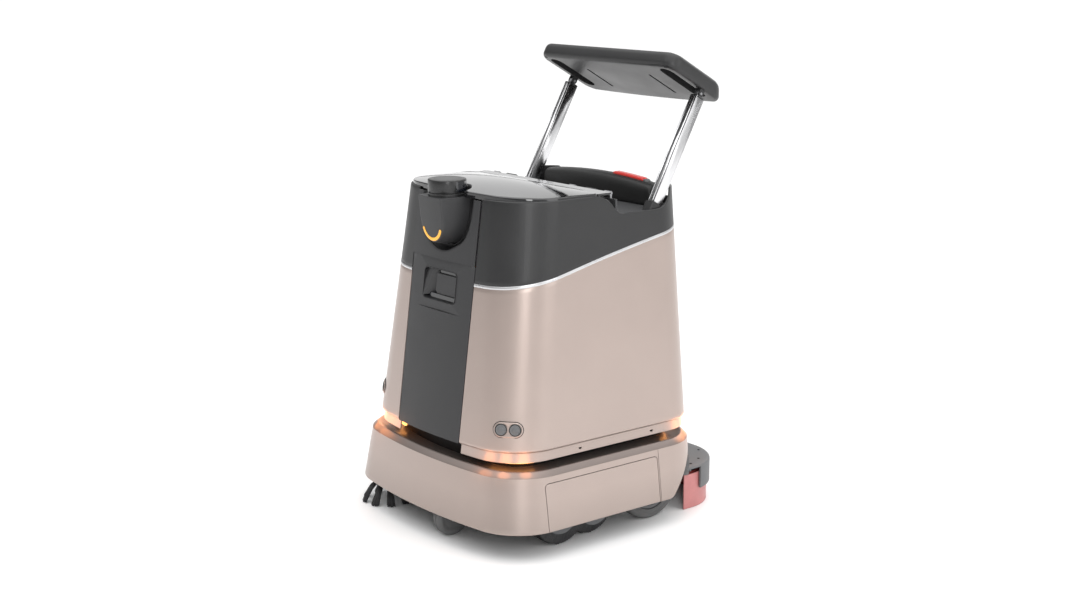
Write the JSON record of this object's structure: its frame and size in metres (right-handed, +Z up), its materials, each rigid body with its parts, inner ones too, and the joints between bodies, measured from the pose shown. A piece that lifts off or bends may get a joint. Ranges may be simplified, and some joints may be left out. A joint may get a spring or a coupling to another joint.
{
  "type": "robotic floor scrubber",
  "caption": "Commercial robotic floor scrubber: flared skirt base, tapered body with scanner nose and tank lid, pull-up tilting console, brush rollers, side brush and rear squeegee.",
  "frame": {"origin": "centre of the footprint, on the floor", "axes": "+Z up, -Y is the front of the machine, +X is the machine's left"},
  "size_m": [0.796, 0.8819, 1.3089],
  "materials": {
    "champagne_paint": "satin metallic paint on moulded plastic",
    "dark_grey_plastic": "satin, fine grain",
    "black_plastic": "satin",
    "grey_plastic": "satin, fine grain",
    "piano_black": "polished",
    "soft_black": "soft-touch satin",
    "signal_red": "gloss",
    "silver_trim": "satin",
    "brushed_chrome": "brushed",
    "steel": "semi-gloss powder coat",
    "dark_glass": "polished",
    "amber_light": "lit diffuser",
    "tank_plastic": "natural polyethylene",
    "grey_tyre": "matt",
    "black_bristle": "matt",
    "red_rubber": "translucent polyurethane"
  },
  "bodies": {
    "chassis": {"base_skirt": "champagne_paint", "rear_fender_left": "champagne_paint", "rear_fender_right": "champagne_paint", "base_deck": "champagne_paint", "lower_shell": "champagne_paint", "sonar_bezels": "champagne_paint", "hatch_pins": "steel", "waist_pedestal": "black_plastic", "corner_lights": "amber_light", "trim_strip": "silver_trim", "upper_cover": "dark_grey_plastic", "front_panel": "dark_grey_plastic", "camera_housing": "black_plastic", "camera_windows": "dark_glass", "sonar_sensors": "grey_plastic", "turret_nose": "black_plastic", "smile_light": "amber_light", "turret_base": "black_plastic", "turret_hood": "piano_black", "post_sleeves": "black_plastic", "rear_tray": "grey_plastic", "handle_roll": "soft_black", "lid_hinge_bar": "brushed_chrome", "recovery_tank": "tank_plastic", "tank_caps": "black_plastic", "clean_water_tank": "tank_plastic", "vacuum_motor": "grey_plastic", "water_pump": "grey_plastic", "controller": "black_plastic", "body_frame": "steel", "drive_brackets": "steel", "side_brush_motor": "black_plastic", "chassis_plate": "steel", "battery_pack": "black_plastic"},
    "drive_wheel_left": {"drive_tyre_left": "grey_tyre", "drive_hub_left": "grey_plastic"},
    "drive_wheel_right": {"drive_tyre_right": "grey_tyre", "drive_hub_right": "grey_plastic"},
    "caster_swivel": {"caster_fork": "steel"},
    "caster_roller": {"caster_wheel": "grey_tyre"},
    "scrub_unit": {"scrub_deck": "black_plastic"},
    "front_brush": {"front_brush_core": "grey_plastic", "front_brush_bristles": "black_bristle"},
    "rear_brush": {"rear_brush_core": "grey_plastic", "rear_brush_bristles": "black_bristle"},
    "side_brush": {"side_brush_hub": "black_plastic", "side_brush_tufts": "black_bristle"},
    "squeegee": {"squeegee_arm": "steel", "squeegee_housing": "grey_plastic", "squeegee_blades": "red_rubber", "squeegee_bolts": "brushed_chrome"},
    "hatch_left": {"side_hatch_left": "champagne_paint"},
    "hatch_right": {"side_hatch_right": "champagne_paint"},
    "tank_lid": {"lid": "piano_black"},
    "post_pair": {"posts": "brushed_chrome"},
    "console": {"console_case": "dark_grey_plastic", "console_tray": "grey_plastic", "console_screen": "dark_glass"},
    "emergency_bar": {"stop_bar": "signal_red"},
    "scanner": {"turret_rotor": "grey_plastic"}
  },
  "joints": [
    {"name": "drive_left_spin", "type": "hinge", "parent": "chassis", "child": "drive_wheel_left", "pos_m": [0.303, 0.143, 0.1], "axis": [1, 0, 0], "continuous": true},
    {"name": "drive_right_spin", "type": "hinge", "parent": "chassis", "child": "drive_wheel_right", "pos_m": [-0.303, 0.143, 0.1], "axis": [1, 0, 0], "continuous": true},
    {"name": "caster_turn", "type": "hinge", "parent": "chassis", "child": "caster_swivel", "pos_m": [0.075, -0.36, 0.14], "axis": [0, 0, 1], "continuous": true},
    {"name": "caster_spin", "type": "hinge", "parent": "caster_swivel", "child": "caster_roller", "pos_m": [0.075, -0.376, 0.052], "axis": [1, 0, 0], "continuous": true},
    {"name": "scrub_lift", "type": "slide", "parent": "chassis", "child": "scrub_unit", "axis": [0, 0, 1], "range_m": [0, 0.022]},
    {"name": "front_brush_spin", "type": "hinge", "parent": "scrub_unit", "child": "front_brush", "pos_m": [0, -0.19, 0.09], "axis": [1, 0, 0], "continuous": true},
    {"name": "rear_brush_spin", "type": "hinge", "parent": "scrub_unit", "child": "rear_brush", "pos_m": [0, -0.072, 0.09], "axis": [1, 0, 0], "continuous": true},
    {"name": "side_brush_spin", "type": "hinge", "parent": "chassis", "child": "side_brush", "pos_m": [-0.275, -0.352, 0.1], "axis": [0, 0, 1], "continuous": true},
    {"name": "squeegee_lift", "type": "hinge", "parent": "chassis", "child": "squeegee", "pos_m": [0, 0.262, 0.168], "axis": [1, 0, 0], "range_deg": [0, 8]},
    {"name": "hatch_left_swing", "type": "hinge", "parent": "chassis", "child": "hatch_left", "pos_m": [0.38318, -0.2775, 0.14], "axis": [0.1339, 0, -0.991], "range_deg": [0, 100]},
    {"name": "hatch_right_swing", "type": "hinge", "parent": "chassis", "child": "hatch_right", "pos_m": [-0.38318, -0.2775, 0.14], "axis": [0.1339, 0, 0.991], "range_deg": [0, 100]},
    {"name": "lid_open", "type": "hinge", "parent": "chassis", "child": "tank_lid", "pos_m": [0, 0.036, 0.936], "axis": [-1, 0, 0], "range_deg": [0, 80]},
    {"name": "console_height", "type": "slide", "parent": "chassis", "child": "post_pair", "axis": [0, 0.4818, 0.8763], "range_m": [-0.2, 0]},
    {"name": "console_tilt", "type": "hinge", "parent": "post_pair", "child": "console", "pos_m": [0, 0.34558, 1.18946], "axis": [1, 0, 0], "range_deg": [-15, 15]},
    {"name": "stop_press", "type": "slide", "parent": "chassis", "child": "emergency_bar", "axis": [0, 0, -1], "range_m": [0, 0.004], "stiffness_N_per_m": 1500, "springref_m": -0.002},
    {"name": "scanner_spin", "type": "hinge", "parent": "chassis", "child": "scanner", "pos_m": [0, -0.322, 0.957], "axis": [0, 0, 1], "continuous": true}
  ]
}
